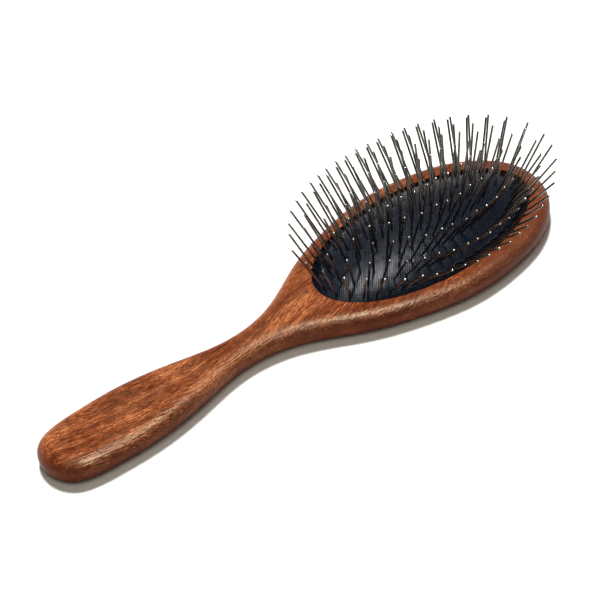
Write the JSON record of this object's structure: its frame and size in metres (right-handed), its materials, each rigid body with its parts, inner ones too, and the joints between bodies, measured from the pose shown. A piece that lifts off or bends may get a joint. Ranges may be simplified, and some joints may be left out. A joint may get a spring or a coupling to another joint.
{
  "type": "cushioned pin brush",
  "caption": "Oval wooden grooming brush with a domed fabric-faced air cushion and fanned straight steel pins that sink and straighten as the cushion is pressed.",
  "frame": {"origin": "middle of the flat back of the head, under the centre of the cushion", "axes": "+X towards the nose of the head, away from the handle; +Y to the left; +Z out of the back through the pins"},
  "size_m": [0.2371, 0.0777, 0.0399],
  "materials": {
    "oiled_wood": "satin oiled reddish-brown hardwood",
    "rubber": "matt black",
    "cushion_fabric": "plain-woven black facing cloth",
    "pin_steel": "polished"
  },
  "bodies": {
    "brush_back": {"wooden_back": "oiled_wood", "rubber_cushion": "rubber", "cushion_fabric": "cushion_fabric"},
    "middle_pins": {"pins_middle": "pin_steel"},
    "outer_left_pins": {"pins_outer_left": "pin_steel"},
    "outer_right_pins": {"pins_outer_right": "pin_steel"},
    "outer_nose_pins": {"pins_outer_nose": "pin_steel"},
    "outer_handle_pins": {"pins_outer_handle": "pin_steel"},
    "second_left_pins": {"pins_second_left": "pin_steel"},
    "second_right_pins": {"pins_second_right": "pin_steel"},
    "second_nose_pins": {"pins_second_nose": "pin_steel"},
    "second_handle_pins": {"pins_second_handle": "pin_steel"},
    "third_left_pins": {"pins_third_left": "pin_steel"},
    "third_right_pins": {"pins_third_right": "pin_steel"},
    "third_nose_pins": {"pins_third_nose": "pin_steel"},
    "third_handle_pins": {"pins_third_handle": "pin_steel"},
    "fourth_left_pins": {"pins_fourth_left": "pin_steel"},
    "fourth_right_pins": {"pins_fourth_right": "pin_steel"},
    "fourth_nose_pins": {"pins_fourth_nose": "pin_steel"},
    "fourth_handle_pins": {"pins_fourth_handle": "pin_steel"}
  },
  "joints": [
    {"name": "cushion_press", "type": "slide", "parent": "brush_back", "child": "middle_pins", "axis": [0, 0, -1], "range_m": [0, 0.0037], "stiffness_N_per_m": 8000, "deforming": ["rubber_cushion", "cushion_fabric"]},
    {"name": "outer_left_tilt", "type": "hinge", "parent": "brush_back", "child": "outer_left_pins", "pos_m": [0, 0.02407, 0.01033], "axis": [1, 0, 0], "range_deg": [0, 12.59], "deforming": ["rubber_cushion", "cushion_fabric"]},
    {"name": "outer_right_tilt", "type": "hinge", "parent": "brush_back", "child": "outer_right_pins", "pos_m": [0, -0.02407, 0.01033], "axis": [-1, 0, 0], "range_deg": [0, 12.59], "deforming": ["rubber_cushion", "cushion_fabric"]},
    {"name": "outer_nose_tilt", "type": "hinge", "parent": "brush_back", "child": "outer_nose_pins", "pos_m": [0.04977, 0, 0.00929], "axis": [0, -1, 0], "range_deg": [0, 9.41], "deforming": ["rubber_cushion", "cushion_fabric"]},
    {"name": "outer_handle_tilt", "type": "hinge", "parent": "brush_back", "child": "outer_handle_pins", "pos_m": [-0.04915, 0, 0.00934], "axis": [0, 1, 0], "range_deg": [0, 9.24], "deforming": ["rubber_cushion", "cushion_fabric"]},
    {"name": "second_left_tilt", "type": "hinge", "parent": "brush_back", "child": "second_left_pins", "pos_m": [0, 0.02769, 0.01254], "axis": [1, 0, 0], "range_deg": [0, 9.94], "deforming": ["rubber_cushion", "cushion_fabric"]},
    {"name": "second_right_tilt", "type": "hinge", "parent": "brush_back", "child": "second_right_pins", "pos_m": [0, -0.02769, 0.01254], "axis": [-1, 0, 0], "range_deg": [0, 9.94], "deforming": ["rubber_cushion", "cushion_fabric"]},
    {"name": "second_nose_tilt", "type": "hinge", "parent": "brush_back", "child": "second_nose_pins", "pos_m": [0.05307, 0, 0.01136], "axis": [0, -1, 0], "range_deg": [0, 7.32], "deforming": ["rubber_cushion", "cushion_fabric"]},
    {"name": "second_handle_tilt", "type": "hinge", "parent": "brush_back", "child": "second_handle_pins", "pos_m": [-0.05271, 0, 0.01143], "axis": [0, 1, 0], "range_deg": [0, 7.15], "deforming": ["rubber_cushion", "cushion_fabric"]},
    {"name": "third_left_tilt", "type": "hinge", "parent": "brush_back", "child": "third_left_pins", "pos_m": [0, 0.03538, 0.01455], "axis": [1, 0, 0], "range_deg": [0, 7.14], "deforming": ["rubber_cushion", "cushion_fabric"]},
    {"name": "third_right_tilt", "type": "hinge", "parent": "brush_back", "child": "third_right_pins", "pos_m": [0, -0.03538, 0.01455], "axis": [-1, 0, 0], "range_deg": [0, 7.14], "deforming": ["rubber_cushion", "cushion_fabric"]},
    {"name": "third_nose_tilt", "type": "hinge", "parent": "brush_back", "child": "third_nose_pins", "pos_m": [0.05966, 0, 0.01339], "axis": [0, -1, 0], "range_deg": [0, 5.33], "deforming": ["rubber_cushion", "cushion_fabric"]},
    {"name": "third_handle_tilt", "type": "hinge", "parent": "brush_back", "child": "third_handle_pins", "pos_m": [-0.05966, 0, 0.01339], "axis": [0, 1, 0], "range_deg": [0, 5.33], "deforming": ["rubber_cushion", "cushion_fabric"]},
    {"name": "fourth_left_tilt", "type": "hinge", "parent": "brush_back", "child": "fourth_left_pins", "pos_m": [0, 0.05357, 0.01589], "axis": [1, 0, 0], "range_deg": [0, 4.31], "deforming": ["rubber_cushion", "cushion_fabric"]},
    {"name": "fourth_right_tilt", "type": "hinge", "parent": "brush_back", "child": "fourth_right_pins", "pos_m": [0, -0.05357, 0.01589], "axis": [-1, 0, 0], "range_deg": [0, 4.31], "deforming": ["rubber_cushion", "cushion_fabric"]},
    {"name": "fourth_nose_tilt", "type": "hinge", "parent": "brush_back", "child": "fourth_nose_pins", "pos_m": [0.06886, 0, 0.01467], "axis": [0, -1, 0], "range_deg": [0, 4.22], "deforming": ["rubber_cushion", "cushion_fabric"]},
    {"name": "fourth_handle_tilt", "type": "hinge", "parent": "brush_back", "child": "fourth_handle_pins", "pos_m": [-0.06886, 0, 0.01467], "axis": [0, 1, 0], "range_deg": [0, 4.22], "deforming": ["rubber_cushion", "cushion_fabric"]}
  ],
  "couplings": [
    {"joint": "outer_left_tilt", "follows": "cushion_press", "rad_per_m": 59.359},
    {"joint": "outer_right_tilt", "follows": "cushion_press", "rad_per_m": 59.359},
    {"joint": "outer_nose_tilt", "follows": "cushion_press", "rad_per_m": 44.366},
    {"joint": "outer_handle_tilt", "follows": "cushion_press", "rad_per_m": 43.564},
    {"joint": "second_left_tilt", "follows": "cushion_press", "rad_per_m": 46.865},
    {"joint": "second_right_tilt", "follows": "cushion_press", "rad_per_m": 46.865},
    {"joint": "second_nose_tilt", "follows": "cushion_press", "rad_per_m": 34.512},
    {"joint": "second_handle_tilt", "follows": "cushion_press", "rad_per_m": 33.71},
    {"joint": "third_left_tilt", "follows": "cushion_press", "rad_per_m": 33.663},
    {"joint": "third_right_tilt", "follows": "cushion_press", "rad_per_m": 33.663},
    {"joint": "third_nose_tilt", "follows": "cushion_press", "rad_per_m": 25.13},
    {"joint": "third_handle_tilt", "follows": "cushion_press", "rad_per_m": 25.13},
    {"joint": "fourth_left_tilt", "follows": "cushion_press", "rad_per_m": 20.321},
    {"joint": "fourth_right_tilt", "follows": "cushion_press", "rad_per_m": 20.321},
    {"joint": "fourth_nose_tilt", "follows": "cushion_press", "rad_per_m": 19.896},
    {"joint": "fourth_handle_tilt", "follows": "cushion_press", "rad_per_m": 19.896}
  ]
}
